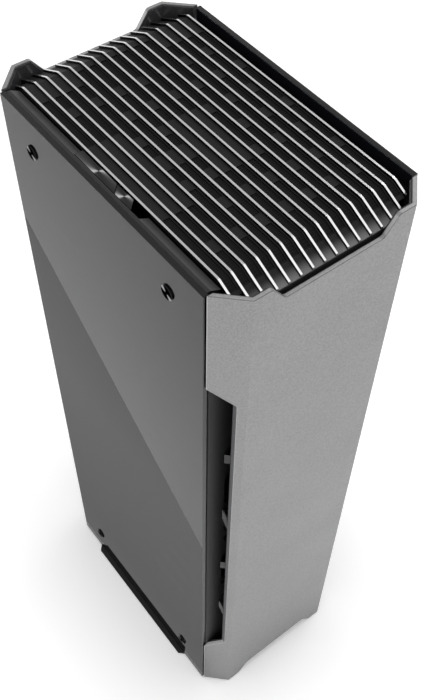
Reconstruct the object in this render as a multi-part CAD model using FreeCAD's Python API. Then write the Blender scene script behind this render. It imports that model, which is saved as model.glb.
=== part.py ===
# Tall mini-ITX computer case: two folded aluminium panels, two dark glass sides, a top cover of upright fins.
# Millimetres. Z is up, the front faces -Y, and the origin is on the floor under the middle of the case.
import FreeCAD, Part
import math
import os

from FreeCAD import Vector

# Overall size
case_width = 174.0            # over the two glass faces
case_depth = 274.0            # over the front and rear panels
panel_height = 652.0
floor_gap = 2.0               # from the floor to the panels' lowest edge

# Folded panels
panel_sheet = 3.0
panel_inset = 1.8             # from the glass face back to the panels' side edges
panel_fold = 19.6             # reach of each 45 degree corner fold along X and along Y
fold_radius = 2.0
notch_half_width = 40.5       # level part of the notches in the panel's ends
notch_slant = 11.0            # run of a notch's slanted side along X
notch_depth = 14.5
notch_radius = 4.0
vent_reach = 14.8             # from the panel's side edge to the vent's inner edge, along X
vent_half_length = 232.0      # at the panel's side edge
vent_taper = 16.5             # the vent's inner edge is shorter by this at each end

# Black liners behind the panels
liner_wall = 1.6
liner_drop = 1.5              # below the panel's edges
liner_vent_margin = 1.5       # the liner's vents are larger than the panel's
strut_pitch = 92.0
strut_count = 4
strut_drop = 9.0              # from the panel's middle down to the middle of the struts
strut_setback = 5.9           # from the liner's fold back to the struts
strut_thickness = 2.0
strut_half_height = 6.0       # level struts
strut_rise = 46.0             # a sloped strut climbs this much each side of its middle
strut_lift = 15.0             # a sloped strut's end at the wall is above its place in the row by this
strut_slant_half_height = 7.0
boss_diameter = 10.0
stud_diameter = 5.0
stud_inset_x = 5.0            # from the folds
stud_inset_z = 68.0           # from the panel's upper and lower edges
stud_grip = 8.0               # length held in the boss
stud_tip = 5.0                # length past the wall

# Glass sides
glass_thickness = 4.0
glass_edge_gap = 1.0          # between the glass and the panels' side edges
glass_top_drop = 1.0          # below the panels' upper edges
glass_hole = 8.0
seat_gap = 0.1                # between the glass and what it lies against

# Flat-headed screws that hold the glass
screw_inset_y = 36.1          # from the glass's upright edges
screw_inset_top = 29.5        # from the panels' upper edges
screw_inset_bottom = 38.0     # from the panels' lower edges
head_diameter = 11.6
head_height = 1.0
head_bevel = 0.3
socket_width = 2.5            # across the flats of the hexagon socket
socket_depth = 0.7
shank_diameter = 5.0
shank_grip = 5.0              # length inside the insert
washer_diameter = 10.0
washer_thickness = 0.3
insert_diameter = 9.0
insert_length = 6.0

# Steel chassis
steel_sheet = 1.0
wall_flange = 8.0             # inward fold along the front and rear walls' side edges
base_height = 12.0            # floor to the base plate's underside
base_flange = 38.0            # upward fold along the base plate's sides
top_plate_drop = 56.5         # from the panels' upper edges to the top plate
base_slot_count = 9
base_slot_length = 60.0
base_slot_width = 5.0
base_slot_pitch = 11.0

# Fans behind the front wall
fan_size = 140.0
fan_depth = 25.0
fan_gap = 4.0                 # between the two fans
fan_corner_radius = 6.0
fan_rim = 3.0                 # thinnest part of the frame round the bore
fan_hole_inset = 7.75
fan_screw_diameter = 4.0
fan_screw_length = 10.0       # inside the fan
fan_screw_head = 7.0
fan_screw_head_height = 1.5
fan_head_gap = 0.1            # between the screw heads and the struts
window_margin = 4.0           # from the fan's sides to the wall's fan window
window_corner = 35.0
hub_diameter = 41.0
hub_wall = 2.5
hub_setback = 1.5             # from the fan's front face to the hub
hub_rear_gap = 1.5            # from the hub to the motor plate
blade_count = 7
blade_tip_gap = 1.5
blade_thickness = 1.8
blade_root_chord = 19.0
blade_root_angle = 48.0
blade_tip_chord = 32.0
blade_tip_angle = 27.0
motor_plate = 4.0
motor_strut_width = 5.0
bearing_diameter = 10.0
bearing_setback = 6.0         # from the fan's front face to the bearing tube
spindle_diameter = 4.0
spindle_end_gap = 3.0
running_clearance = 0.05      # spindle in its bearing, on the radius

# Rear wall vents
rear_slot_rows = 4
rear_slot_columns = 9
rear_slot_length = 60.0
rear_slot_width = 6.0
rear_slot_pitch_x = 13.0
rear_slot_pitch_z = 80.0

# Board tray, ports and expansion slots
tray_x = 6.0                  # the tray's face on the board's side
tray_sheet = 1.0
tray_fan_gap = 7.0            # from the fans' rear faces to the tray
tray_bottom = 165.0
tray_fold = 12.0
tray_window = 90.0
standoff_height = 6.5
standoff_diameter = 6.0
standoff_hole = 3.0
board_hole_y = 157.48         # hole spacing of a mini-ITX board
board_hole_z = 154.94
board_top_gap = 12.0          # from the top plate down to the upper holes
board_fan_gap = 12.26         # from the fans' rear faces to the front holes
port_length = 158.75          # port opening of a board
port_width = 44.45
slot_count = 3
slot_pitch = 20.32
slot_length = 104.0
slot_width = 14.0
cover_length = 124.0
cover_gap = 1.9               # between two slot covers
cover_rail_gap = 2.5          # from the last slot cover to the right rail
cover_sheet = 1.2
slot_screw_diameter = 3.5
slot_screw_head = 6.5
slot_screw_head_height = 2.2
slot_screw_grip = 3.0         # length under the top plate

# Power-supply bracket
bracket_y = 60.0
bracket_tray_gap = 15.0       # from the bracket up to the board tray
bracket_foot = 16.0
bracket_gap = 0.3             # to the base plate's side folds
supply_x = 38.0               # middle of the power supply's end
supply_height = 82.0
supply_hole_x = 51.5          # screw spacing of a small power supply stood on its side
supply_hole_z = 113.0
supply_hole = 4.2
supply_window_margin = 4.0    # from the screw centres to the window
bracket_slot_columns = 7
bracket_slot_rows = 2
bracket_slot_width = 4.0
bracket_slot_length = 24.0
bracket_slot_pitch_x = 8.0
bracket_slot_pitch_z = 30.0
bracket_slot_x = -41.0        # middle of the slot group
bracket_slot_z = 73.0

# Drive trays
drive_length = 102.0
drive_width = 74.0
drive_depth = 9.0
drive_spacing = 90.0
drive_bottom = 200.0
drive_mid_y = 14.0
drive_window_margin = 12.0

# Top rails
rail_width = 10.2
rail_wall = 2.0
rail_rim = 2.8                # outer wall, beside the glass
rail_slope = 4.0              # drop of the left rail's top face from its rim to the fins
rail_lip = 12.0               # height of the right rail's rim above the ledge
rail_end_gap = 1.5            # to the inner face of the front and rear walls
ledge_width = 6.0
ledge_thickness = 2.0

# Fins of the top cover
fin_count = 16
fin_thickness = 1.6
fin_height = 24.0
fin_side_gap = 0.5            # outer fins to the rails
fin_end_gap = 0.8             # fins to the liners
fin_flat_margin = 20.6        # length of the sloped ends
fin_end_drop = 10.0
fin_end_lift = 4.0            # the underside rises by this at the ends
fin_under_slope = 9.6
fin_bend_radius = 8.0
bar_width = 6.0
bar_height = 6.0
bar_pitch = 90.0
bar_count = 3
end_bar_width = 3.5
end_bar_drop = 3.2            # below the fins' end corners

# Slotted strips between the fins
strip_drop = 2.0              # from the fins' upper edges down to the strips
strip_sheet = 0.8
strip_gap = 0.1               # between a strip and the fins
strip_edge = 1.05             # beside the slots
strip_bridge = 10.5           # between two slots of a strip
strip_bridge_pitch = 52.1
strip_bridge_count = 3        # in every other strip, and one more in the rest
strip_middle_y = -9.0         # middle of the pattern
strip_front_margin = 11.6     # from the fins' front ends to the first slots
strip_rear_margin = 26.6      # from the last slots to the fins' rear ends
strip_corner_margin = 41.6    # the same in the strips near the sides
corner_strips = 4
shortest_slot = 10.0
# Unslotted parts: first and last strip, front and rear end
solid_parts = ((0, 2, -51.0, 33.0), (3, 5, -16.6, -1.0), (6, 8, -40.0, 23.0))

# Buttons in the left rail
button_gap = 0.4
button_drop = 1.0             # below the fins' upper edges
button_cap = 8.0
power_front_y = -10.7         # middle of the slanted seam between the buttons
power_rear_y = 32.2
light_length = 18.5
pocket_front_gap = 9.0        # recess in front of the light button
pocket_depth = 13.0           # from the buttons' tops to the guide shelf
shelf_thickness = 2.0
stem_diameter = 4.0
stem_clearance = 0.3
stem_length = 15.8            # from the cap's top face down
stem_spread = 24.0            # between the power button's two stems
button_travel = 1.0
switch_gap = 0.2              # left between stem and switch when a button is pressed
switch_size = 6.0
switch_height = 7.0
board_sheet = 1.6
board_height = 14.0
board_overhang = 6.0

# Foot rails
foot_bottom = 1.5             # the pads lift the rails by this
foot_reach = 5.0              # past the glass face
foot_edge = 2.0               # height of the outer edge
foot_lip = 6.5                # floor to the top of the lip beside the glass
foot_lip_gap = 0.4
foot_groove = 3.7             # floor to the bottom of the glass groove
foot_glass_gap = 0.3
foot_width = 15.0             # inside the glass
foot_half_length = 83.5
foot_mitre = 5.0
pad_diameter = 16.0
pad_thickness = 2.5
pad_clearance = 0.1
pad_y = 66.0
pad_inset = 10.0              # from the glass face to the pads' middle
foot_screw_diameter = 4.0
foot_screw_head = 8.0
foot_screw_head_height = 2.5
foot_screw_grip = 6.0
foot_screw_pitch = 44.0
foot_screw_count = 3
hole_clearance = 0.1          # screws and studs in their holes, on the radius

# Places that follow from the sizes above
half_width = case_width / 2
half_depth = case_depth / 2
panel_bottom = floor_gap
case_top = panel_bottom + panel_height
mid_height = (panel_bottom + case_top) / 2
root_two = math.sqrt(2.0)
panel_x = half_width - panel_inset
fold_x = panel_x - panel_fold
fold_y = half_depth - panel_fold
vent_inner_x = panel_x - vent_reach
liner_depth = panel_sheet + liner_wall
liner_face_y = half_depth - liner_depth
strut_depth = liner_depth + strut_setback
stud_x = fold_x - stud_inset_x

glass_inner_x = half_width - glass_thickness
glass_half_depth = fold_y - glass_edge_gap
glass_top = case_top - glass_top_drop
glass_bottom = foot_groove + foot_glass_gap
screw_y = glass_half_depth - screw_inset_y
screw_heights = (panel_bottom + screw_inset_bottom, case_top - screw_inset_top)
head_x = half_width + washer_thickness

wall_face_y = fold_y
wall_inner_y = wall_face_y - steel_sheet
side_x = glass_inner_x - seat_gap
base_top = base_height + steel_sheet
flange_top = base_top + base_flange
plate_z = case_top - top_plate_drop - steel_sheet
plate_top = plate_z + steel_sheet
foot_inner_x = side_x - foot_width
pad_x = half_width - pad_inset

fan_front_y = -wall_inner_y
fan_rear_y = fan_front_y + fan_depth
fan_pitch = fan_size + fan_gap
fan_heights = (mid_height - fan_pitch / 2, mid_height + fan_pitch / 2)
fan_bore = fan_size - 2 * fan_rim
fan_hole_spacing = fan_size - 2 * fan_hole_inset
window_size = fan_size - 2 * window_margin
hub_length = fan_depth - hub_setback - hub_rear_gap - motor_plate

tray_front_y = fan_rear_y + tray_fan_gap
board_mid_y = fan_rear_y + board_fan_gap + board_hole_y / 2
cover_width = slot_pitch - cover_gap
bracket_top = tray_bottom - bracket_tray_gap

rail_inner_x = side_x - rail_width
rail_half_length = wall_inner_y - rail_end_gap
fin_bottom = case_top - fin_height
ledge_bottom = fin_bottom - ledge_thickness
lip_top = fin_bottom + rail_lip
fin_end_y =liner_face_y - fin_end_gap
fin_end_top = case_top - fin_end_drop
fin_flat_y = fin_end_y - fin_flat_margin
outer_fin_x = rail_inner_x - fin_side_gap - fin_thickness / 2
fin_pitch = 2 * outer_fin_x / (fin_count - 1)
end_bar_top = fin_end_top - end_bar_drop
end_bar_bottom = fin_bottom + fin_end_lift
end_bar_y = fin_end_y - end_bar_width

button_top = case_top - button_drop
button_outer_x = side_x - rail_rim - button_gap
button_inner_x = rail_inner_x + button_gap
button_slant = (button_outer_x - button_inner_x) / 2
stem_x = (side_x - rail_rim + rail_inner_x + rail_wall) / 2
light_front_y = power_front_y - light_length
shelf_top = button_top - pocket_depth
stem_bottom = button_top - stem_length
switch_top = stem_bottom - button_travel - switch_gap
power_mid_y = (power_front_y + power_rear_y) / 2
light_mid_y = power_front_y - light_length / 2
power_stem_ys = (power_mid_y - stem_spread / 2, power_mid_y + stem_spread / 2)
switch_ys = (power_stem_ys[0], light_mid_y)


def block(x0, x1, y0, y1, z0, z1):
    return Part.makeBox(x1 - x0, y1 - y0, z1 - z0, Vector(x0, y0, z0))


def prism(points, travel):
    corners = [Vector(*point) for point in points]
    return Part.Face(Part.makePolygon(corners + corners[:1])).extrude(Vector(*travel))


def rod(diameter, start, end):
    axis = Vector(*end) - Vector(*start)
    return Part.makeCylinder(diameter / 2, axis.Length, Vector(*start), axis)


def mirrored(shape, normal):
    return shape.mirror(Vector(0, 0, 0), Vector(*normal))


def both_sides(shape):
    return [shape, mirrored(shape, (1, 0, 0))]


def row(count, pitch):
    return [(i - (count - 1) / 2) * pitch for i in range(count)]


def parallel_edges(shape, axis, test):
    found = []
    for edge in shape.Edges:
        tangent = edge.tangentAt(edge.FirstParameter)
        if abs(tangent.dot(Vector(*axis))) > 0.999 and test(edge.CenterOfMass):
            found.append(edge)
    return found


def fold_limit(depth):
    # |x| + |y| of the plane that lies this deep behind a corner fold's outer face
    return panel_x + fold_y - depth * root_two


def folded_sheet(outer, inner, end_y, z0, z1):
    # Section of a sheet between two depths behind the front panel's outer face, closed along y = -end_y
    def corner(depth):
        return fold_x - depth * (root_two - 1), half_depth - depth

    def end(depth):
        return fold_limit(depth) - end_y, end_y

    half = [end(outer), corner(outer)]
    back = [corner(inner), end(inner)]
    left = [(-x, -y, z0) for x, y in half]
    right = [(x, -y, z0) for x, y in reversed(half)]
    right_back = [(x, -y, z0) for x, y in reversed(back)]
    left_back = [(-x, -y, z0) for x, y in back]
    return prism(left + right + right_back + left_back, (0, 0, z1 - z0))


def end_notch(margin):
    # Cutter for the notches in the upper and lower ends of a panel, grown by a margin
    cutters = []
    wide = notch_half_width + notch_slant
    for edge, way in ((case_top, -1), (panel_bottom, 1)):
        floor = edge + way * (notch_depth + margin)
        beyond = edge - way * notch_depth
        points = [
            (-wide - margin - notch_slant, -half_depth, beyond),
            (-wide - margin, -half_depth, edge),
            (-notch_half_width - margin, -half_depth, floor),
            (notch_half_width + margin, -half_depth, floor),
            (wide + margin, -half_depth, edge),
            (wide + margin + notch_slant, -half_depth, beyond),
        ]
        cutters.append(prism(points, (0, panel_fold, 0)))
    return cutters


def fold_vents(margin):
    # Cutters along Y for the vents in both corner folds
    inner = vent_inner_x - margin
    slope = vent_taper / vent_reach
    outer = panel_x + panel_sheet
    long_half = vent_half_length + slope * (outer - panel_x) + margin
    short_half = vent_half_length - vent_taper + margin
    points = [
        (-inner, -half_depth, mid_height - short_half),
        (-outer, -half_depth, mid_height - long_half),
        (-outer, -half_depth, mid_height + long_half),
        (-inner, -half_depth, mid_height + short_half),
    ]
    return both_sides(prism(points, (0, panel_fold + panel_sheet, 0)))


def folded_panel():
    panel = folded_sheet(0, panel_sheet, fold_y, panel_bottom, case_top)
    folds = parallel_edges(panel, (0, 0, 1), lambda at: at.y < -half_depth + panel_sheet / 2)
    panel = panel.makeFillet(fold_radius, folds)
    panel = panel.cut(end_notch(0))
    corners = parallel_edges(panel, (0, 1, 0), lambda at: abs(at.x) < notch_half_width + 2 * notch_slant)
    panel = panel.makeFillet(notch_radius, corners)
    return panel.cut(fold_vents(0))


def strut(height, rise, half_height):
    # Flat strut behind the left fold's vent, from the liner to just before the fan screws' heads
    limit = fold_limit(strut_depth)
    mid_x = (liner_face_y + wall_face_y) / 2 - limit
    slope = 2 * rise / (liner_face_y - wall_face_y)
    inner_x = liner_face_y - limit + liner_wall
    outer_x = wall_face_y - limit - strut_thickness
    inner_z = height - slope * (inner_x - mid_x)
    outer_z = height - slope * (outer_x - mid_x)
    points = [
        (inner_x, -limit - inner_x, inner_z - half_height),
        (inner_x, -limit - inner_x, inner_z + half_height),
        (outer_x, -limit - outer_x, outer_z + half_height),
        (outer_x, -limit - outer_x, outer_z - half_height),
    ]
    travel = strut_thickness / root_two
    plate = prism(points, (travel, travel, 0))
    end_y = wall_face_y + fan_screw_head_height + fan_head_gap
    wall_side = block(-case_width, 0, -end_y, 0, 0, case_top)
    return plate.cut(wall_side)


def stud_places():
    heights = (panel_bottom + stud_inset_z, case_top - stud_inset_z)
    return [(x, z) for x in (-stud_x, stud_x) for z in heights]


def liner():
    shell = folded_sheet(panel_sheet, liner_depth, wall_face_y, panel_bottom + liner_drop, case_top - liner_drop)
    shell = shell.cut(end_notch(liner_drop))
    shell = shell.cut(fold_vents(liner_vent_margin))
    parts = []
    for i, offset in enumerate(row(strut_count, strut_pitch)):
        place = mid_height - strut_drop + offset
        if i % 2 == 1:
            parts += both_sides(strut(place, 0, strut_half_height))
        else:
            parts += both_sides(strut(place + strut_lift - strut_rise, strut_rise, strut_slant_half_height))
    for x, z in stud_places():
        parts.append(rod(boss_diameter, (x, -liner_face_y, z), (x, -wall_face_y, z)))
    shell = shell.fuse(parts)
    for x, z in stud_places():
        shell = shell.cut(rod(stud_diameter, (x, -wall_face_y - stud_grip, z), (x, -wall_face_y, z)))
    return shell.removeSplitter()


def panel_studs():
    studs = []
    for x, z in stud_places():
        start = (x, -wall_face_y - stud_grip, z)
        end = (x, -wall_inner_y + stud_tip, z)
        stud = rod(stud_diameter, start, end)
        studs += [stud, mirrored(stud, (0, 1, 0))]
    return studs


def screw_places():
    return [(y, z) for y in (-screw_y, screw_y) for z in screw_heights]


def glass_side():
    pane = block(-half_width, -glass_inner_x, -glass_half_depth, glass_half_depth, glass_bottom, glass_top)
    holes = [rod(glass_hole, (-half_width, y, z), (-glass_inner_x, y, z)) for y, z in screw_places()]
    return pane.cut(holes)


def glass_screw(y, z):
    outer = head_x + head_height
    head = rod(head_diameter, (-head_x, y, z), (-outer, y, z))
    rim = [edge for edge in head.Edges if abs(edge.CenterOfMass.x + outer) < head_height / 4]
    head = head.makeChamfer(head_bevel, rim)
    corners = []
    for i in range(6):
        turn = math.radians(60 * i)
        reach = socket_width / math.sqrt(3.0)
        corners.append((-outer, y + reach * math.cos(turn), z + reach * math.sin(turn)))
    head = head.cut(prism(corners, (socket_depth, 0, 0)))
    shank = rod(shank_diameter, (-head_x, y, z), (-side_x + shank_grip, y, z))
    return head.fuse(shank).removeSplitter()


def washer(y, z):
    ring = rod(washer_diameter, (-half_width, y, z), (-head_x, y, z))
    bore = shank_diameter + 2 * hole_clearance
    return ring.cut(rod(bore, (-half_width, y, z), (-head_x, y, z)))


def glass_insert(y, z):
    tube = rod(insert_diameter, (-side_x, y, z), (-side_x + insert_length, y, z))
    bore = shank_diameter + 2 * hole_clearance
    return tube.cut(rod(bore, (-side_x, y, z), (-side_x + insert_length, y, z)))


def at_screws(maker):
    solids = []
    for y, z in screw_places():
        solids += both_sides(maker(y, z))
    return solids


def insert_holes(heights):
    holes = []
    for y, z in screw_places():
        if z in heights:
            holes += both_sides(rod(insert_diameter, (-side_x, y, z), (-side_x + insert_length, y, z)))
    return holes


def foot_screw_places():
    x = (foot_inner_x + side_x) / 2
    return [(x, y) for y in row(foot_screw_count, foot_screw_pitch)]


def foot_screw(x, y):
    head = rod(foot_screw_head, (-x, y, base_top), (-x, y, base_top + foot_screw_head_height))
    shank = rod(foot_screw_diameter, (-x, y, base_height - foot_screw_grip), (-x, y, base_top))
    return head.fuse(shank).removeSplitter()


def foot_screw_hole(x, y):
    bore = foot_screw_diameter + 2 * hole_clearance
    return rod(bore, (-x, y, base_height - foot_screw_grip), (-x, y, base_top))


def foot_rail():
    outer = half_width + foot_reach
    lip = half_width + foot_lip_gap
    points = [
        (-outer, 0, foot_bottom),
        (-outer, 0, foot_bottom + foot_edge),
        (-lip, 0, foot_lip),
        (-lip, 0, foot_groove),
        (-side_x + foot_lip_gap, 0, foot_groove),
        (-side_x + foot_lip_gap, 0, base_height),
        (-foot_inner_x, 0, base_height),
        (-foot_inner_x, 0, foot_bottom),
    ]
    rail = prism(points, (0, 2 * foot_half_length, 0)).translated(Vector(0, -foot_half_length, 0))
    mitre = prism([
        (-outer, -foot_half_length, 0),
        (-outer + foot_mitre, -foot_half_length, 0),
        (-outer, -foot_half_length + foot_mitre, 0),
    ], (0, 0, base_height))
    rail = rail.cut([mitre, mirrored(mitre, (0, 1, 0))])
    seats = [rod(pad_diameter + 2 * pad_clearance, (-pad_x, y, 0), (-pad_x, y, pad_thickness))
             for y in (-pad_y, pad_y)]
    return rail.cut(seats + [foot_screw_hole(x, y) for x, y in foot_screw_places()])


def foot_pads():
    pads = []
    for y in (-pad_y, pad_y):
        pads += both_sides(rod(pad_diameter, (-pad_x, y, 0), (-pad_x, y, pad_thickness)))
    return pads


def base_plate():
    plate = block(-side_x, side_x, -wall_inner_y, wall_inner_y, base_height, base_top)
    fold = block(-side_x, -side_x + steel_sheet, -wall_inner_y, wall_inner_y, base_top, flange_top)
    plate = plate.fuse(both_sides(fold)).removeSplitter()
    cuts = insert_holes(screw_heights[:1])
    for x, y in foot_screw_places():
        cuts += both_sides(foot_screw_hole(x, y))
    half = base_slot_length / 2
    for x in row(base_slot_count, base_slot_pitch):
        cuts.append(block(x - base_slot_width / 2, x + base_slot_width / 2, -half, half, base_height, base_top))
    return plate.cut(cuts)


def chassis_wall():
    # Flat wall behind the front panel, with its side edges folded inwards
    wall = block(-side_x, side_x, -wall_face_y, -wall_inner_y, base_height, plate_z)
    fold = block(-side_x, -side_x + steel_sheet, -wall_inner_y, -wall_inner_y + wall_flange,
                 flange_top, plate_z)
    wall = wall.fuse(both_sides(fold)).removeSplitter()
    bore = stud_diameter + 2 * hole_clearance
    return wall.cut([rod(bore, (x, -wall_face_y, z), (x, -wall_inner_y, z)) for x, z in stud_places()])


def fan_window(height):
    half = window_size / 2
    short = half - window_corner
    ring = [(half, short), (short, half), (-short, half), (-half, short),
            (-half, -short), (-short, -half), (short, -half), (half, -short)]
    points = [(x, -wall_face_y, height + z) for x, z in ring]
    return prism(points, (0, steel_sheet, 0))


def fan_screw_places():
    half = fan_hole_spacing / 2
    return [(x, height + z) for height in fan_heights for x in (-half, half) for z in (-half, half)]


def front_wall():
    cuts = [fan_window(height) for height in fan_heights]
    bore = fan_screw_diameter + 2 * hole_clearance
    cuts += [rod(bore, (x, -wall_face_y, z), (x, -wall_inner_y, z)) for x, z in fan_screw_places()]
    return chassis_wall().cut(cuts)


def rear_wall():
    wall = mirrored(chassis_wall(), (0, 1, 0))
    slots = []
    half_x = rear_slot_width / 2
    half_z = rear_slot_length / 2
    for x in row(rear_slot_columns, rear_slot_pitch_x):
        for z in row(rear_slot_rows, rear_slot_pitch_z):
            z += mid_height
            slots.append(block(x - half_x, x + half_x, wall_inner_y, wall_face_y, z - half_z, z + half_z))
    return wall.cut(slots)


def slot_xs():
    last = rail_inner_x - cover_rail_gap - cover_width / 2
    return [last - i * slot_pitch for i in reversed(range(slot_count))]


def slot_screw_y():
    return board_mid_y + cover_length / 2 - slot_screw_head


def slot_screw_hole(x):
    y = slot_screw_y()
    bore = slot_screw_diameter + 2 * hole_clearance
    return rod(bore, (x, y, plate_z), (x, y, plate_top + cover_sheet))


def top_plate():
    plate = block(-side_x, side_x, -wall_face_y, wall_face_y, plate_z, plate_top)
    board_x = tray_x - standoff_height
    front = board_mid_y - port_length / 2
    rear = board_mid_y + port_length / 2
    cuts = [block(board_x - port_width, board_x, front, rear, plate_z, plate_top)]
    front = board_mid_y - slot_length / 2
    rear = board_mid_y + slot_length / 2
    for x in slot_xs():
        cuts.append(block(x - slot_width / 2, x + slot_width / 2, front, rear, plate_z, plate_top))
        cuts.append(slot_screw_hole(x))
    return plate.cut(cuts)


def slot_cover(x):
    half_x = cover_width / 2
    front = board_mid_y - cover_length / 2
    rear = board_mid_y + cover_length / 2
    cover = block(x - half_x, x + half_x, front, rear, plate_top, plate_top + cover_sheet)
    return cover.cut(slot_screw_hole(x))


def slot_screws():
    screws = []
    y = slot_screw_y()
    seat = plate_top + cover_sheet
    for x in slot_xs():
        head = rod(slot_screw_head, (x, y, seat), (x, y, seat + slot_screw_head_height))
        shank = rod(slot_screw_diameter, (x, y, plate_z - slot_screw_grip), (x, y, seat))
        screws.append(head.fuse(shank).removeSplitter())
    return screws


def board_hole_places():
    top = plate_z - board_top_gap
    ys = (board_mid_y - board_hole_y / 2, board_mid_y + board_hole_y / 2)
    return [(y, z) for y in ys for z in (top - board_hole_z, top)]


def board_tray():
    tray = block(tray_x, tray_x + tray_sheet, tray_front_y, wall_inner_y, tray_bottom, plate_z)
    fold = block(tray_x, tray_x + tray_fold, tray_front_y, tray_front_y + tray_sheet, tray_bottom, plate_z)
    tray = tray.fuse(fold).removeSplitter()
    half = tray_window / 2
    window_z = plate_z - board_top_gap - board_hole_z / 2
    window = block(tray_x, tray_x + tray_sheet, board_mid_y - half, board_mid_y + half,
                   window_z - half, window_z + half)
    return tray.cut(window)


def standoffs():
    posts = []
    for y, z in board_hole_places():
        post = rod(standoff_diameter, (tray_x, y, z), (tray_x - standoff_height, y, z))
        posts.append(post.cut(rod(standoff_hole, (tray_x, y, z), (tray_x - standoff_height, y, z))))
    return posts


def drive_tray(mid_y):
    # Shallow folded tray with an open back, on the board's side of the tray plate
    half = drive_width / 2
    top = drive_bottom + drive_length
    face = tray_x - drive_depth
    tray = block(face, tray_x, mid_y - half, mid_y + half, drive_bottom, top)
    inside = half - tray_sheet
    tray = tray.cut(block(face, tray_x - tray_sheet, mid_y - inside, mid_y + inside, drive_bottom, top))
    opening = half - drive_window_margin
    return tray.cut(block(tray_x - tray_sheet, tray_x, mid_y - opening, mid_y + opening,
                          drive_bottom + drive_window_margin, top - drive_window_margin))


def supply_bracket():
    half = side_x - steel_sheet - bracket_gap
    back = bracket_y + steel_sheet
    plate = block(-half, half, bracket_y, back, base_top, bracket_top)
    foot = block(-half, half, bracket_y, bracket_y + bracket_foot, base_top, base_top + steel_sheet)
    plate = plate.fuse(foot).removeSplitter()
    half_x = supply_hole_x / 2
    half_z = supply_hole_z / 2
    open_x = half_x - supply_window_margin
    open_z = half_z - supply_window_margin
    cuts = [block(supply_x - open_x, supply_x + open_x, bracket_y, back,
                  supply_height - open_z, supply_height + open_z)]
    for x in (supply_x - half_x, supply_x + half_x):
        for z in (supply_height - half_z, supply_height + half_z):
            cuts.append(rod(supply_hole, (x, bracket_y, z), (x, back, z)))
    slot_x = bracket_slot_width / 2
    slot_z = bracket_slot_length / 2
    for column in row(bracket_slot_columns, bracket_slot_pitch_x):
        for level in row(bracket_slot_rows, bracket_slot_pitch_z):
            x = bracket_slot_x + column
            z = bracket_slot_z + level
            cuts.append(block(x - slot_x, x + slot_x, bracket_y, back, z - slot_z, z + slot_z))
    return plate.cut(cuts)


def fan_frame(height):
    half = fan_size / 2
    frame = block(-half, half, fan_front_y, fan_rear_y, height - half, height + half)
    corners = parallel_edges(frame, (0, 1, 0), lambda at: True)
    frame = frame.makeFillet(fan_corner_radius, corners)
    cuts = [rod(fan_bore, (0, fan_front_y, height), (0, fan_rear_y, height))]
    spread = fan_hole_spacing / 2
    bore = fan_screw_diameter + 2 * hole_clearance
    for x in (-spread, spread):
        for z in (height - spread, height + spread):
            cuts.append(rod(bore, (x, fan_front_y, z), (x, fan_rear_y, z)))
    frame = frame.cut(cuts)
    plate_y = fan_rear_y - motor_plate
    reach = (fan_bore + fan_size) / 4
    half_strut = motor_strut_width / 2
    motor = [
        rod(hub_diameter, (0, plate_y, height), (0, fan_rear_y, height)),
        rod(bearing_diameter, (0, fan_front_y + bearing_setback, height), (0, fan_rear_y, height)),
        block(-reach, reach, plate_y, fan_rear_y, height - half_strut, height + half_strut),
        block(-half_strut, half_strut, plate_y, fan_rear_y, height - reach, height + reach),
    ]
    frame = frame.fuse(motor).removeSplitter()
    bearing_bore = spindle_diameter + 2 * running_clearance
    return frame.cut(rod(bearing_bore, (0, fan_front_y + bearing_setback, height), (0, plate_y, height)))


def blade_section(radius, chord, angle, mid_y):
    # Thin four-sided section of a blade, square to the radius, which points up
    tilt = math.radians(angle)
    along = Vector(math.cos(tilt), math.sin(tilt), 0) * (chord / 2)
    across = Vector(-math.sin(tilt), math.cos(tilt), 0) * (blade_thickness / 2)
    middle = Vector(0, mid_y, radius)
    corners = [middle - along - across, middle + along - across,
               middle + along + across, middle - along + across]
    return Part.makePolygon(corners + corners[:1])


def fan_rotor(height):
    hub_front = fan_front_y + hub_setback
    hub_rear = hub_front + hub_length
    hub = rod(hub_diameter, (0, hub_front, 0), (0, hub_rear, 0))
    cup = rod(hub_diameter - 2 * hub_wall, (0, hub_front + hub_wall, 0), (0, hub_rear, 0))
    hub = hub.cut(cup)
    spindle_end = fan_rear_y - motor_plate - spindle_end_gap
    spindle = rod(spindle_diameter, (0, hub_front + hub_wall, 0), (0, spindle_end, 0))
    middle = (hub_front + hub_rear) / 2
    root = blade_section(hub_diameter / 2 - hub_wall / 2, blade_root_chord, blade_root_angle, middle)
    tip = blade_section(fan_bore / 2, blade_tip_chord, blade_tip_angle, middle)
    swept = rod(fan_bore - 2 * blade_tip_gap, (0, fan_front_y, 0), (0, fan_rear_y, 0))
    blade = Part.makeLoft([root, tip], True, True).common(swept).cut(cup)
    blades = []
    for i in range(blade_count):
        turned = blade.copy()
        turned.rotate(Vector(0, 0, 0), Vector(0, 1, 0), 360.0 * i / blade_count)
        blades.append(turned)
    rotor = hub.fuse(blades + [spindle])
    return rotor.removeSplitter().translated(Vector(0, 0, height))


def fan_screws():
    screws = []
    for x, z in fan_screw_places():
        head = rod(fan_screw_head, (x, -wall_face_y - fan_screw_head_height, z), (x, -wall_face_y, z))
        shank = rod(fan_screw_diameter, (x, -wall_face_y, z), (x, -wall_inner_y + fan_screw_length, z))
        screws.append(head.fuse(shank).removeSplitter())
    return screws


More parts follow.
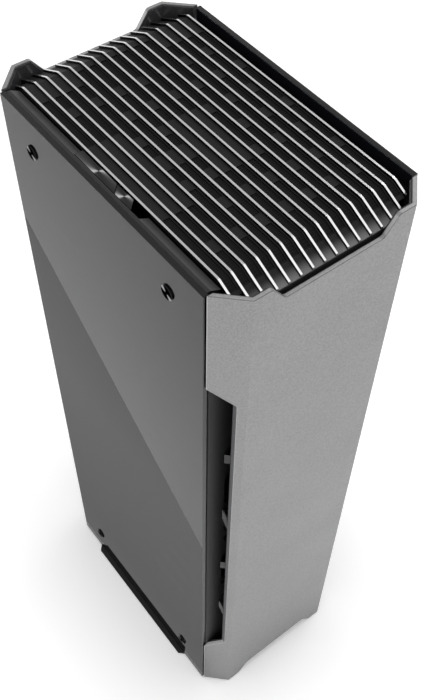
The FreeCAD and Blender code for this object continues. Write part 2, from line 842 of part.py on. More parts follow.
def hollow_rail(outside, inside):
    # Rail on the left from its outline down to the ledge and the hollow's upper corners, open below
    ledge_x = -rail_inner_x + ledge_width
    start = (-side_x, 0, plate_top)
    end = (-rail_inner_x, 0, plate_top)
    section = [start] + outside + [
        (ledge_x, 0, fin_bottom),
        (ledge_x, 0, ledge_bottom),
        (-rail_inner_x, 0, ledge_bottom),
        end,
        (-rail_inner_x - rail_wall, 0, plate_top),
    ] + inside + [(-side_x + rail_rim, 0, plate_top)]
    rail = prism(section, (0, 2 * rail_half_length, 0)).translated(Vector(0, -rail_half_length, 0))
    end_wall = prism([start] + outside + [end], (0, rail_wall, 0)).translated(Vector(0, -rail_half_length, 0))
    rail = rail.fuse([end_wall, mirrored(end_wall, (0, 1, 0))]).removeSplitter()
    holes = [hole for hole in insert_holes(screw_heights[1:]) if hole.CenterOfMass.x < 0]
    return rail.cut(holes)


def right_rail():
    # Low rail, closed at the height of the ledge, with a rim beside the glass
    outside = [
        (-side_x, 0, lip_top),
        (-side_x + rail_rim, 0, lip_top),
        (-side_x + rail_rim, 0, fin_bottom),
        (-rail_inner_x, 0, fin_bottom),
    ]
    inside = [(-rail_inner_x - rail_wall, 0, ledge_bottom), (-side_x + rail_rim, 0, ledge_bottom)]
    return mirrored(hollow_rail(outside, inside), (1, 0, 0))


def left_rail():
    # High rail that slopes down to the fins, with a pocket for the buttons and a shelf that guides their stems
    inner_top = glass_top - rail_slope
    outside = [
        (-side_x, 0, glass_top),
        (-side_x + rail_rim, 0, glass_top),
        (-rail_inner_x, 0, inner_top),
        (-rail_inner_x, 0, fin_bottom),
    ]
    inside = [(-rail_inner_x - rail_wall, 0, inner_top - rail_wall), (-side_x + rail_rim, 0, glass_top - rail_wall)]
    front = light_front_y - button_slant - pocket_front_gap
    rear = power_rear_y + button_gap
    pocket = block(-side_x + rail_rim, -rail_inner_x, front, rear, shelf_top, case_top)
    rail = hollow_rail(outside, inside).cut(pocket)
    shelf = block(-side_x + rail_rim, -rail_inner_x - rail_wall, front, rear,
                  shelf_top - shelf_thickness, shelf_top)
    bore = stem_diameter + 2 * stem_clearance
    guides = [rod(bore, (-stem_x, y, shelf_top - shelf_thickness), (-stem_x, y, shelf_top))
              for y in power_stem_ys + (light_mid_y,)]
    return rail.fuse(shelf).removeSplitter().cut(guides)


def button(outline, stem_ys):
    cap_bottom = button_top - button_cap
    cap = prism([(x, y, cap_bottom) for x, y in outline], (0, 0, button_cap))
    stems = [rod(stem_diameter, (-stem_x, y, stem_bottom), (-stem_x, y, cap_bottom)) for y in stem_ys]
    return cap.fuse(stems).removeSplitter()


def power_button():
    outline = [
        (-button_outer_x, power_front_y - button_slant),
        (-button_inner_x, power_front_y + button_slant),
        (-button_inner_x, power_rear_y),
        (-button_outer_x, power_rear_y),
    ]
    return button(outline, power_stem_ys)


def light_button():
    rear = power_front_y - button_gap * root_two
    outline = [
        (-button_outer_x, light_front_y - button_slant),
        (-button_inner_x, light_front_y + button_slant),
        (-button_inner_x, rear + button_slant),
        (-button_outer_x, rear - button_slant),
    ]
    return button(outline, (light_mid_y,))


def switch_board():
    face = rail_inner_x + rail_wall
    top = switch_top - switch_height / 2
    return block(-face - board_sheet, -face, min(switch_ys) - board_overhang, max(switch_ys) + board_overhang,
                 top - board_height, top)


def button_switches():
    face = -rail_inner_x - rail_wall - board_sheet
    half = switch_size / 2
    outer = -side_x + rail_rim + seat_gap
    return [block(outer, face, y - half, y + half, switch_top - switch_height, switch_top) for y in switch_ys]


def fin_xs():
    return [-outer_fin_x + i * fin_pitch for i in range(fin_count)]


def fin_reach(x):
    # The outermost fins end earlier, where the panels' corner folds close in
    fold_gap = fin_end_gap * root_two
    return min(fin_end_y, fold_limit(liner_depth) - abs(x) - fin_thickness / 2 - fold_gap)


def cover_bar(y):
    return block(-outer_fin_x - fin_thickness / 2, outer_fin_x + fin_thickness / 2,
                 y - bar_width / 2, y + bar_width / 2, fin_bottom, fin_bottom + bar_height)


def end_bar():
    half = outer_fin_x - fin_pitch + fin_thickness / 2
    return block(-half, half, -fin_end_y, -end_bar_y, end_bar_bottom, end_bar_top)


def upper_half(reach, drop):
    # Half of a fin's upper outline, lowered by a drop
    slope = fin_end_drop / fin_flat_margin
    top = case_top - drop
    return [(fin_flat_y, top), (reach, top - slope * (reach - fin_flat_y))]


def strip_slots(i):
    # Front and rear ends of the slots in a strip, between its bridges and unslotted parts
    near_side = min(i, fin_count - 2 - i) < corner_strips
    rear = fin_end_y - (strip_corner_margin if near_side else strip_rear_margin)
    parts = [(low, high) for first, last, low, high in solid_parts if first <= i <= last]
    bridges = []
    for offset in row(strip_bridge_count + i % 2, strip_bridge_pitch):
        low = strip_middle_y + offset - strip_bridge / 2
        high = low + strip_bridge
        gaps = [max(part_low - high, low - part_high) for part_low, part_high in parts]
        if not any(0 < gap < shortest_slot for gap in gaps):
            bridges.append((low, high))
    slots = []
    start = strip_front_margin - fin_end_y
    for low, high in sorted(parts + bridges) + [(rear, rear)]:
        if min(low, rear) - start > shortest_slot:
            slots.append((start, min(low, rear)))
        start = max(start, high)
    return slots


def strip(i):
    # Slotted strip between a fin and the next one
    near, far = fin_xs()[i:i + 2]
    left = near + fin_thickness / 2 + strip_gap
    right = far - fin_thickness / 2 - strip_gap
    reach = min(fin_reach(near), fin_reach(far))
    half = upper_half(reach, strip_drop) + upper_half(reach, strip_drop + strip_sheet)[::-1]
    points = [(left, y, z) for y, z in half] + [(left, -y, z) for y, z in reversed(half)]
    sheet = prism(points, (right - left, 0, 0))
    return sheet.cut([block(left + strip_edge, right - strip_edge, front, rear, fin_bottom, case_top)
                      for front, rear in strip_slots(i)])


def fin(x):
    reach = fin_reach(x)
    under_y = fin_end_y - fin_under_slope
    under_end = fin_bottom + fin_end_lift * max(0.0, reach - under_y) / fin_under_slope
    left = x - fin_thickness / 2
    half = upper_half(reach, 0) + [(reach, under_end)]
    if reach > under_y:
        half.append((under_y, fin_bottom))
    points = [(left, -y, z) for y, z in half] + [(left, y, z) for y, z in reversed(half)]
    blade = prism(points, (fin_thickness, 0, 0))
    bends = parallel_edges(blade, (1, 0, 0), lambda at: at.z > case_top - fin_bend_radius / 10)
    blade = blade.makeFillet(fin_bend_radius, bends)
    bar = end_bar()
    bars = [cover_bar(y) for y in row(bar_count, bar_pitch)]
    return blade.cut(bars + [bar, mirrored(bar, (0, 1, 0))])


def save(node, *solids):
    shape = solids[0] if len(solids) == 1 else Part.makeCompound(list(solids))
    shape.exportStep("parts/" + node + ".step")


def save_outside():
    save("front_panel", folded_panel())
    save("rear_panel", mirrored(folded_panel(), (0, 1, 0)))
    save("front_liner", liner())
    save("rear_liner", mirrored(liner(), (0, 1, 0)))
    save("panel_studs", *panel_studs())
    save("left_glass", glass_side())
    save("right_glass", mirrored(glass_side(), (1, 0, 0)))
    save("glass_screws", *at_screws(glass_screw))
    save("glass_washers", *at_screws(washer))
    save("glass_inserts", *at_screws(glass_insert))
    save("left_foot_rail", foot_rail())
    save("right_foot_rail", mirrored(foot_rail(), (1, 0, 0)))
    save("foot_pads", *foot_pads())
    screws = []
    for x, y in foot_screw_places():
        screws += both_sides(foot_screw(x, y))
    save("foot_screws", *screws)


def save_chassis():
    save("base_plate", base_plate())
    save("front_wall", front_wall())
    save("rear_wall", rear_wall())
    save("top_plate", top_plate())
    for i, x in enumerate(slot_xs()):
        save("slot_cover_%d" % (i + 1), slot_cover(x))
    save("slot_screws", *slot_screws())
    save("board_tray", board_tray())
    save("board_standoffs", *standoffs())
    save("front_drive_tray", drive_tray(drive_mid_y - drive_spacing / 2))
    save("rear_drive_tray", drive_tray(drive_mid_y + drive_spacing / 2))
    save("supply_bracket", supply_bracket())
    for name, height in zip(("lower", "upper"), fan_heights):
        save(name + "_fan_frame", fan_frame(height))
        save(name + "_fan_rotor", fan_rotor(height))
    save("fan_screws", *fan_screws())


def save_top():
    save("left_top_rail", left_rail())
    save("right_top_rail", right_rail())
    save("power_button", power_button())
    save("light_button", light_button())
    save("switch_board", switch_board())
    save("button_switches", *button_switches())
    for i, x in enumerate(fin_xs()):
        save("fin_%02d" % (i + 1), fin(x))
    save("cover_strips", *[strip(i) for i in range(fin_count - 1)])
    save("cover_front_bar", end_bar())
    save("cover_rear_bar", mirrored(end_bar(), (0, 1, 0)))
    for i, y in enumerate(row(bar_count, bar_pitch)):
        save("cover_cross_bar_%d" % (i + 1), cover_bar(y))


os.makedirs("parts", exist_ok=True)
save_outside()
save_chassis()
save_top()
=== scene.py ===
# Tall mini-ITX case on a white studio floor, seen from above its front left corner.
import bmesh
import bpy
import math
from mathutils import Matrix, Vector


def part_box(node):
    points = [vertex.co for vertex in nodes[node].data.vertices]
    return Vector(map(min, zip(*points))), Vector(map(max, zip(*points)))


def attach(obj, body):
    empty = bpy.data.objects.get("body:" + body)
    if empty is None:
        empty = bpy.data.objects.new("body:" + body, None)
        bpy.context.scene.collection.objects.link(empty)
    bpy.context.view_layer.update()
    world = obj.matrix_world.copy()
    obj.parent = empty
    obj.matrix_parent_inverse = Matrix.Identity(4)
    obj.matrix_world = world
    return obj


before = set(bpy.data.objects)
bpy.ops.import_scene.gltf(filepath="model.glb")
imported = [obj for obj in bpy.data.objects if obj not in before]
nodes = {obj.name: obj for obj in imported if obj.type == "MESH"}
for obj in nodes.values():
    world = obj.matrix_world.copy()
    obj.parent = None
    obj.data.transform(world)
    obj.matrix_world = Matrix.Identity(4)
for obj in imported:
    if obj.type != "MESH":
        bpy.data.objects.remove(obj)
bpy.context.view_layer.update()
scene = bpy.context.scene
scene.view_settings.view_transform = "Standard"
millimetre = 0.001
bevelSamples = 6             # rays with which the shading rounds an edge
print("frame loaded:", len(nodes), "nodes")


def linear(hexText):
    # sRGB hex to the linear colour that the shaders want
    channels = [int(hexText[i:i + 2], 16) / 255 for i in (1, 3, 5)]
    return tuple(c / 12.92 if c <= 0.04045 else ((c + 0.055) / 1.055) ** 2.4 for c in channels) + (1.0,)


def addNode(tree, kind, inputs=None, **settings):
    # one node with its settings; an input takes a value or another node's output
    node = tree.nodes.new(kind)
    for name, value in settings.items():
        setattr(node, name, value)
    for socket, value in (inputs or {}).items():
        if isinstance(value, bpy.types.NodeSocket):
            tree.links.new(value, node.inputs[socket])
        else:
            node.inputs[socket].default_value = value
    return node


def startMaterial(name):
    material = bpy.data.materials.new(name)
    material.use_nodes = True
    material.node_tree.nodes.clear()
    return material, material.node_tree


def endMaterial(tree, shader):
    addNode(tree, "ShaderNodeOutputMaterial", {"Surface": shader.outputs[0]})


def perMetre(grain):
    # texture scale that makes a pattern repeat about every so many millimetres
    return 1 / (grain * millimetre)


def waveScale(pitch):
    # scale at which a wave texture repeats every so many millimetres
    radiansPerMetre = 20     # of the texture at scale 1
    return 2 * math.pi / radiansPerMetre * perMetre(pitch)


def dress(material, *names):
    for name in names:
        mesh = nodes[name].data
        mesh.materials.clear()
        mesh.materials.append(material)


# Sandblasted and clear anodised aluminium: an even grey metal with a very fine sparkle.
# Its rounded edges carry thin painted lines: painted shade where a face turns from level to upright, and a
# painted highlight along the free edge of a fold.
blasted = {
    "colour": "#c8c8c8",
    "dullColour": "#868686",
    "lines": {               # colour, and the span of the normal that brings it in
        "edge": ("#58585a", (0.1, 0.3)),     # painted shade where a face turns from level to upright
        "foldHighlight": ("#ececec", (0.76, 0.88)),   # painted highlight along the free edge of a fold
        "cut": ("#808082", (0.8, 0.9)),      # on the cut faces of the vents
    },
    "roughness": (0.46, 0.54),
    "grit": 1.3,             # mm; the real grit is about 0.1, drawn coarser so that it shows
    "cloud": 60,             # mm; slow change of sheen over the sheet
    "cloudSpan": (0.3, 0.7),
    "bump": 0.10,
    "bumpHeight": 0.2,       # mm
    "edgeRadius": 0.8,       # mm; edges are rounded in the shading only
}


def sandblastedAluminium():
    s = blasted
    material, tree = startMaterial("sandblasted aluminium")
    where = addNode(tree, "ShaderNodeTexCoord").outputs["Object"]
    grit = addNode(tree, "ShaderNodeTexNoise", {
        "Vector": where, "Scale": perMetre(s["grit"]), "Detail": 3.0, "Roughness": 0.7}).outputs["Fac"]
    cloud = addNode(tree, "ShaderNodeTexNoise", {
        "Vector": where, "Scale": perMetre(s["cloud"]), "Detail": 2.0}).outputs["Fac"]
    finish = addNode(tree, "ShaderNodeMix", {
        "Factor": grit, "A": linear(s["dullColour"]), "B": linear(s["colour"])},
        data_type="RGBA").outputs["Result"]
    # the rounded normal finds the edges, and the face's own normal the cut faces
    soft = addNode(tree, "ShaderNodeBevel", {"Radius": s["edgeRadius"] * millimetre},
                   samples=bevelSamples).outputs["Normal"]
    softWay = addNode(tree, "ShaderNodeSeparateXYZ", {"Vector": soft}).outputs
    own = addNode(tree, "ShaderNodeNewGeometry").outputs["True Normal"]
    ownWay = addNode(tree, "ShaderNodeSeparateXYZ", {"Vector": own}).outputs
    turn = addNode(tree, "ShaderNodeMath", {0: softWay["Y"], 1: softWay["Z"]},
                   operation="MULTIPLY").outputs[0]
    # the edge line is painted shade and the fold line a painted highlight, laid on by the way the rounded
    # normal faces
    for line, value in (("edge", turn), ("foldHighlight", softWay["X"]), ("cut", ownWay["X"])):
        colour, span = s["lines"][line]
        size = addNode(tree, "ShaderNodeMath", {0: value}, operation="ABSOLUTE").outputs[0]
        mask = addNode(tree, "ShaderNodeMapRange", {
            "Value": size, "From Min": span[0], "From Max": span[1]}).outputs["Result"]
        finish = addNode(tree, "ShaderNodeMix", {"Factor": mask, "A": finish, "B": linear(colour)},
                         data_type="RGBA").outputs["Result"]
    rough = addNode(tree, "ShaderNodeMapRange", {
        "Value": cloud, "From Min": s["cloudSpan"][0], "From Max": s["cloudSpan"][1],
        "To Min": s["roughness"][0], "To Max": s["roughness"][1]}).outputs["Result"]
    bump = addNode(tree, "ShaderNodeBump", {
        "Height": grit, "Strength": s["bump"], "Distance": s["bumpHeight"] * millimetre,
        "Normal": soft}).outputs["Normal"]
    shader = addNode(tree, "ShaderNodeBsdfPrincipled", {
        "Base Color": finish, "Metallic": 1.0, "Roughness": rough, "Normal": bump})
    endMaterial(tree, shader)
    return material


dress(sandblastedAluminium(), "front_panel", "rear_panel")
print("panels dressed")


# Extruded aluminium fins: black anodised sides, and edges cut bright afterwards.
finFinish = {
    "side": "#1f1f21",
    "sideRoughness": 0.30,
    "edge": "#e8e8e9",
    "edgeRoughness": 0.26,
    "sideFrom": 0.75,        # a face is a side where its normal has more than this across the case
    "drawLine": 0.5,         # mm between the die lines along the sides
    "stretch": (0.0, 0.004, 1.0),    # draws the pattern out along the fin
    "bump": 0.06,
    "bumpHeight": 0.05,      # mm
}
finNames = sorted(name for name in nodes if name.startswith("fin_"))


def cutEdgeAluminium():
    s = finFinish
    material, tree = startMaterial("black anodised aluminium with bright cut edges")
    normal = addNode(tree, "ShaderNodeNewGeometry").outputs["Normal"]
    across = addNode(tree, "ShaderNodeSeparateXYZ", {"Vector": normal}).outputs["X"]
    size = addNode(tree, "ShaderNodeMath", {0: across}, operation="ABSOLUTE").outputs[0]
    isSide = addNode(tree, "ShaderNodeMath", {0: size, 1: s["sideFrom"]},
                     operation="GREATER_THAN").outputs[0]
    where = addNode(tree, "ShaderNodeTexCoord").outputs["Object"]
    drawn = addNode(tree, "ShaderNodeVectorMath", {0: where, 1: s["stretch"]},
                    operation="MULTIPLY").outputs[0]
    lines = addNode(tree, "ShaderNodeTexNoise", {
        "Vector": drawn, "Scale": perMetre(s["drawLine"]), "Detail": 2.0}).outputs["Fac"]
    colour = addNode(tree, "ShaderNodeMix", {
        "Factor": isSide, "A": linear(s["edge"]), "B": linear(s["side"])},
        data_type="RGBA").outputs["Result"]
    rough = addNode(tree, "ShaderNodeMapRange", {
        "Value": isSide, "To Min": s["edgeRoughness"], "To Max": s["sideRoughness"]}).outputs["Result"]
    bump = addNode(tree, "ShaderNodeBump", {
        "Height": lines, "Strength": s["bump"], "Distance": s["bumpHeight"] * millimetre}).outputs["Normal"]
    shader = addNode(tree, "ShaderNodeBsdfPrincipled", {
        "Base Color": colour, "Metallic": 1.0, "Roughness": rough, "Normal": bump})
    endMaterial(tree, shader)
    return material


dress(cutEdgeAluminium(), *finNames)
print("fins dressed")


# Powder coat on folded steel: near black, with the fine orange peel of baked powder.
powder = {
    "colour": "#262628",
    "roughness": (0.4, 0.6),
    "peel": 0.8,             # mm
    "bump": 0.25,
    "bumpHeight": 0.1,       # mm
    "nodes": ["base_plate", "front_wall", "rear_wall", "top_plate", "slot_cover_1", "slot_cover_2",
              "slot_cover_3", "board_tray", "front_drive_tray", "rear_drive_tray", "supply_bracket",
              "cover_front_bar", "cover_rear_bar", "cover_cross_bar_1", "cover_cross_bar_2",
              "cover_cross_bar_3"],
}


def powderCoatedSteel():
    s = powder
    material, tree = startMaterial("black powder coated steel")
    where = addNode(tree, "ShaderNodeTexCoord").outputs["Object"]
    peel = addNode(tree, "ShaderNodeTexNoise", {
        "Vector": where, "Scale": perMetre(s["peel"]), "Detail": 4.0}).outputs["Fac"]
    rough = addNode(tree, "ShaderNodeMapRange", {
        "Value": peel, "To Min": s["roughness"][0], "To Max": s["roughness"][1]}).outputs["Result"]
    bump = addNode(tree, "ShaderNodeBump", {
        "Height": peel, "Strength": s["bump"], "Distance": s["bumpHeight"] * millimetre}).outputs["Normal"]
    shader = addNode(tree, "ShaderNodeBsdfPrincipled", {
        "Base Color": linear(s["colour"]), "Roughness": rough, "Normal": bump})
    endMaterial(tree, shader)
    return material


dress(powderCoatedSteel(), *powder["nodes"])


# What all the plastics share: ABS, PBT and nylon lie close together in IOR.
plastic = {
    "ior": 1.53,
    "spread": (0.85, 1.15),  # times the roughness, in the hollows and on the tops of the grain
    "grainHeight": 0.1,      # mm
}

# Black mouldings and rubber: one look, with its own colour, gloss and texture depth for each; grain in mm.
mouldings = {
    "fan PBT, plain moulded": {
        "nodes": ["lower_fan_frame", "upper_fan_frame"], "colour": "#141415", "roughness": 0.5,
        "grain": 0.7, "bump": 0.15, "specular": 0.5},
    "rotor PBT, smooth moulded": {
        "nodes": ["lower_fan_rotor", "upper_fan_rotor"], "colour": "#1b1b1d", "roughness": 0.38,
        "grain": 0.7, "bump": 0.08, "specular": 0.5},
    "channel ABS, matt": {
        "nodes": ["right_top_rail"], "colour": "#080809", "roughness": 0.55,
        "grain": 0.8, "bump": 0.15, "specular": 0.1},
    "foot ABS, satin": {
        "nodes": ["left_foot_rail", "right_foot_rail"], "colour": "#0b0b0c", "roughness": 0.4,
        "grain": 0.6, "bump": 0.12, "specular": 0.22},
    "switch nylon": {
        "nodes": ["button_switches"], "colour": "#19191a", "roughness": 0.45,
        "grain": 0.5, "bump": 0.1, "specular": 0.5},
    "foot rubber": {
        "nodes": ["foot_pads", "glass_washers"], "colour": "#101011", "roughness": 0.8,
        "grain": 0.4, "bump": 0.3, "specular": 0.3},
}


def mouldedPlastic(name, s):
    material, tree = startMaterial(name)
    where = addNode(tree, "ShaderNodeTexCoord").outputs["Object"]
    grain = addNode(tree, "ShaderNodeTexNoise", {
        "Vector": where, "Scale": perMetre(s["grain"]), "Detail": 3.0}).outputs["Fac"]
    low, high = (s["roughness"] * part for part in plastic["spread"])
    rough = addNode(tree, "ShaderNodeMapRange", {
        "Value": grain, "To Min": low, "To Max": high}).outputs["Result"]
    bump = addNode(tree, "ShaderNodeBump", {
        "Height": grain, "Strength": s["bump"],
        "Distance": plastic["grainHeight"] * millimetre}).outputs["Normal"]
    shader = addNode(tree, "ShaderNodeBsdfPrincipled", {
        "Base Color": linear(s["colour"]), "Roughness": rough, "IOR": plastic["ior"],
        "Specular IOR Level": s["specular"], "Normal": bump})
    endMaterial(tree, shader)
    return material


for name, s in mouldings.items():
    dress(mouldedPlastic(name, s), *s["nodes"])


# Moulded ABS liners behind the panels: glossy faces with faint flow marks, the rear liner painted lighter
# and the front darker as painted light and shade, and the edges that face up painted black as painted
# shade.
linerFinish = {
    # the rear liner's lighter tone is painted light, and the front liner's darker tone painted shade
    "faces": {"front_liner": "#1e1e20", "rear_liner": "#424244"},
    "edge": "#080809",
    "edgeSpan": (0.3, 0.6),  # upward part of the normal that brings the edge's painted shade in
    "roughness": (0.2, 0.36),
    "flow": 14.0,            # mm across a flow mark
    "flowSpan": (0.35, 0.65),
    "grain": 1.2,            # mm
    "bump": 0.12,
}


def linerPlastic(name, face):
    s = linerFinish
    material, tree = startMaterial("glossy moulded ABS, " + name)
    normal = addNode(tree, "ShaderNodeNewGeometry").outputs["Normal"]
    lift = addNode(tree, "ShaderNodeSeparateXYZ", {"Vector": normal}).outputs["Z"]
    paintedShadeUp = addNode(tree, "ShaderNodeMapRange", {
        "Value": lift, "From Min": s["edgeSpan"][0], "From Max": s["edgeSpan"][1]}).outputs["Result"]
    # painted shade: faces that turn upwards take the near black edge colour
    colour = addNode(tree, "ShaderNodeMix", {
        "Factor": paintedShadeUp, "A": linear(face), "B": linear(s["edge"])}, data_type="RGBA").outputs["Result"]
    where = addNode(tree, "ShaderNodeTexCoord").outputs["Object"]
    flow = addNode(tree, "ShaderNodeTexNoise", {
        "Vector": where, "Scale": perMetre(s["flow"]), "Detail": 2.0}).outputs["Fac"]
    rough = addNode(tree, "ShaderNodeMapRange", {
        "Value": flow, "From Min": s["flowSpan"][0], "From Max": s["flowSpan"][1],
        "To Min": s["roughness"][0], "To Max": s["roughness"][1]}).outputs["Result"]
    grain = addNode(tree, "ShaderNodeTexNoise", {
        "Vector": where, "Scale": perMetre(s["grain"]), "Detail": 3.0}).outputs["Fac"]
    bump = addNode(tree, "ShaderNodeBump", {
        "Height": grain, "Strength": s["bump"],
        "Distance": plastic["grainHeight"] * millimetre}).outputs["Normal"]
    shader = addNode(tree, "ShaderNodeBsdfPrincipled", {
        "Base Color": colour, "Roughness": rough, "IOR": plastic["ior"], "Normal": bump})
    endMaterial(tree, shader)
    return material


for name, face in linerFinish["faces"].items():
    dress(linerPlastic(name, face), name)


# Moulded ABS strips between the fins: fine textured, and painted paler towards the front ends as painted
# light.
stripFinish = {
    "colour": "#1a1a1b",
    "frontLight": "#646464",
    "frontLightLength": 9.0,     # mm
    "roughness": 0.6,
    "grain": 1.4,            # mm
    "bump": 0.9,
    "specular": 0.16,
}


def stripPlastic():
    s = stripFinish
    material, tree = startMaterial("fine textured ABS, painted light at the front")
    where = addNode(tree, "ShaderNodeTexCoord").outputs["Object"]
    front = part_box("cover_strips")[0].y
    along = addNode(tree, "ShaderNodeSeparateXYZ", {"Vector": where}).outputs["Y"]
    # painted light: the strips turn paler over their last millimetres towards the front
    frontLight = addNode(tree, "ShaderNodeMapRange", {
        "Value": along, "From Min": front + s["frontLightLength"] * millimetre, "From Max": front},
        interpolation_type="SMOOTHSTEP").outputs["Result"]
    colour = addNode(tree, "ShaderNodeMix", {
        "Factor": frontLight, "A": linear(s["colour"]), "B": linear(s["frontLight"])},
        data_type="RGBA").outputs["Result"]
    grain = addNode(tree, "ShaderNodeTexNoise", {
        "Vector": where, "Scale": perMetre(s["grain"]), "Detail": 3.0}).outputs["Fac"]
    low, high = (s["roughness"] * part for part in plastic["spread"])
    rough = addNode(tree, "ShaderNodeMapRange", {
        "Value": grain, "To Min": low, "To Max": high}).outputs["Result"]
    bump = addNode(tree, "ShaderNodeBump", {
        "Height": grain, "Strength": s["bump"],
        "Distance": plastic["grainHeight"] * millimetre}).outputs["Normal"]
    shader = addNode(tree, "ShaderNodeBsdfPrincipled", {
        "Base Color": colour, "Roughness": rough, "IOR": plastic["ior"],
        "Specular IOR Level": s["specular"], "Normal": bump})
    endMaterial(tree, shader)
    return material


dress(stripPlastic(), "cover_strips")


# Moulded ABS rail with the buttons: satin, painted lighter on the face that slopes to the fins and darker
# on its rim, as painted light and shade.
railFinish = {
    "slope": "#363636",
    "rim": "#0f0f10",
    "slopeSpan": (0.1, 0.4),     # part of the normal towards the fins that brings the slope's painted light in
    "roughness": (0.42, 0.58),
    "grain": 1.5,            # mm
    "bump": 0.06,
    "edgeRadius": 0.5,       # mm; rounded in the shading only
}


def railPlastic():
    s = railFinish
    material, tree = startMaterial("satin moulded ABS with painted light and shade")
    soft = addNode(tree, "ShaderNodeBevel", {"Radius": s["edgeRadius"] * millimetre},
                   samples=bevelSamples).outputs["Normal"]
    lean = addNode(tree, "ShaderNodeSeparateXYZ", {"Vector": soft}).outputs["X"]
    # painted light and shade: faces leaning to the fins take the paler slope colour, the rest the dark rim
    # colour
    paintedLightSlope = addNode(tree, "ShaderNodeMapRange", {
        "Value": lean, "From Min": s["slopeSpan"][0], "From Max": s["slopeSpan"][1]}).outputs["Result"]
    colour = addNode(tree, "ShaderNodeMix", {
        "Factor": paintedLightSlope, "A": linear(s["rim"]), "B": linear(s["slope"])},
        data_type="RGBA").outputs["Result"]
    where = addNode(tree, "ShaderNodeTexCoord").outputs["Object"]
    grain = addNode(tree, "ShaderNodeTexNoise", {
        "Vector": where, "Scale": perMetre(s["grain"]), "Detail": 3.0}).outputs["Fac"]
    rough = addNode(tree, "ShaderNodeMapRange", {
        "Value": grain, "To Min": s["roughness"][0], "To Max": s["roughness"][1]}).outputs["Result"]
    bump = addNode(tree, "ShaderNodeBump", {
        "Height": grain, "Strength": s["bump"], "Distance": plastic["grainHeight"] * millimetre,
        "Normal": soft}).outputs["Normal"]
    shader = addNode(tree, "ShaderNodeBsdfPrincipled", {
        "Base Color": colour, "Roughness": rough, "IOR": plastic["ior"], "Normal": bump})
    endMaterial(tree, shader)
    return material


dress(railPlastic(), "left_top_rail")
print("steel and mouldings dressed")


def turnedFaceAndPaintedFans(tree, s, arm, axis):
    # a face turned about an axis: the arm from its centre laid flat, the way of the tool marks, and the
    # colour with its painted highlight fans
    plane = tuple(1.0 - part for part in axis)
    flat = addNode(tree, "ShaderNodeVectorMath", {0: arm, 1: plane}, operation="MULTIPLY").outputs[0]
    swirl = addNode(tree, "ShaderNodeVectorMath", {0: axis, 1: flat}, operation="CROSS_PRODUCT").outputs[0]
    marks = addNode(tree, "ShaderNodeVectorMath", {0: swirl}, operation="NORMALIZE").outputs[0]
    spoke = addNode(tree, "ShaderNodeVectorMath", {0: flat}, operation="NORMALIZE").outputs[0]
    along = addNode(tree, "ShaderNodeVectorMath", {0: spoke, 1: s["way"]},
                    operation="DOT_PRODUCT").outputs["Value"]
    size = addNode(tree, "ShaderNodeMath", {0: along}, operation="ABSOLUTE").outputs[0]
    # painted highlight: the colour brightens towards the fixed way across the face
    paintedFan = addNode(tree, "ShaderNodeMath", {0: size, 1: s["narrow"]}, operation="POWER").outputs[0]
    colour = addNode(tree, "ShaderNodeMix", {
        "Factor": paintedFan, "A": linear(s["dark"]), "B": linear(s["paintedFanHighlight"])},
        data_type="RGBA").outputs["Result"]
    return flat, marks, colour


# Turned aluminium: concentric tool marks, and two fans of painted highlight across the face; the rim and
# sides carry painted shade.
turned = {
    "paintedFanHighlight": "#ededee",     # painted highlight in the middle of each fan
    "dark": "#3c3c3d",
    "rim": "#09090a",        # painted shade on the edge all round and the sides
    "faceSpan": (0.9, 0.98),     # upward part of the normal that leads from the rim to the face
    "way": (0.794, -0.608, 0.0),     # across the face, through the two painted highlight fans
    "narrow": 7.0,           # higher makes the fans narrower
    "roughness": 0.36,
    "anisotropy": 0.9,
    "toolMark": 0.8,         # mm between rings; the real 0.1 is too fine to show
    "waver": 0.4,            # unevenness of the rings
    "bump": 0.05,
    "bumpHeight": 0.05,      # mm
    "edgeRadius": 0.6,       # mm; rounded in the shading only
    "centres": {"power_button": (-76.0, 9.4), "light_button": (-76.0, -19.8)},   # mm
}


def turnedAluminium(name, centre):
    s = turned
    material, tree = startMaterial("turned aluminium, " + name)
    where = addNode(tree, "ShaderNodeTexCoord").outputs["Object"]
    middle = (centre[0] * millimetre, centre[1] * millimetre, 0.0)
    arm = addNode(tree, "ShaderNodeVectorMath", {0: where, 1: middle}, operation="SUBTRACT").outputs[0]
    flat, marks, paintedFans = turnedFaceAndPaintedFans(tree, s, arm, (0.0, 0.0, 1.0))
    rings = addNode(tree, "ShaderNodeTexWave", {
        "Vector": flat, "Scale": waveScale(s["toolMark"]), "Distortion": s["waver"], "Detail": 2.0},
        wave_type="RINGS", rings_direction="Z").outputs["Fac"]
    soft = addNode(tree, "ShaderNodeBevel", {"Radius": s["edgeRadius"] * millimetre},
                   samples=bevelSamples).outputs["Normal"]
    level = addNode(tree, "ShaderNodeSeparateXYZ", {"Vector": soft}).outputs["Z"]
    # painted shade: the rounded edge and the sides take the near black rim colour
    face = addNode(tree, "ShaderNodeMapRange", {
        "Value": level, "From Min": s["faceSpan"][0], "From Max": s["faceSpan"][1]}).outputs["Result"]
    finish = addNode(tree, "ShaderNodeMix", {"Factor": face, "A": linear(s["rim"]), "B": paintedFans},
                     data_type="RGBA").outputs["Result"]
    bump = addNode(tree, "ShaderNodeBump", {
        "Height": rings, "Strength": s["bump"], "Distance": s["bumpHeight"] * millimetre,
        "Normal": soft}).outputs["Normal"]
    shader = addNode(tree, "ShaderNodeBsdfPrincipled", {
        "Base Color": finish, "Metallic": 1.0, "Roughness": s["roughness"],
        "Anisotropic": s["anisotropy"], "Tangent": marks, "Normal": bump})
    endMaterial(tree, shader)
    return material


for name, centre in turned["centres"].items():
    dress(turnedAluminium(name, centre), name)


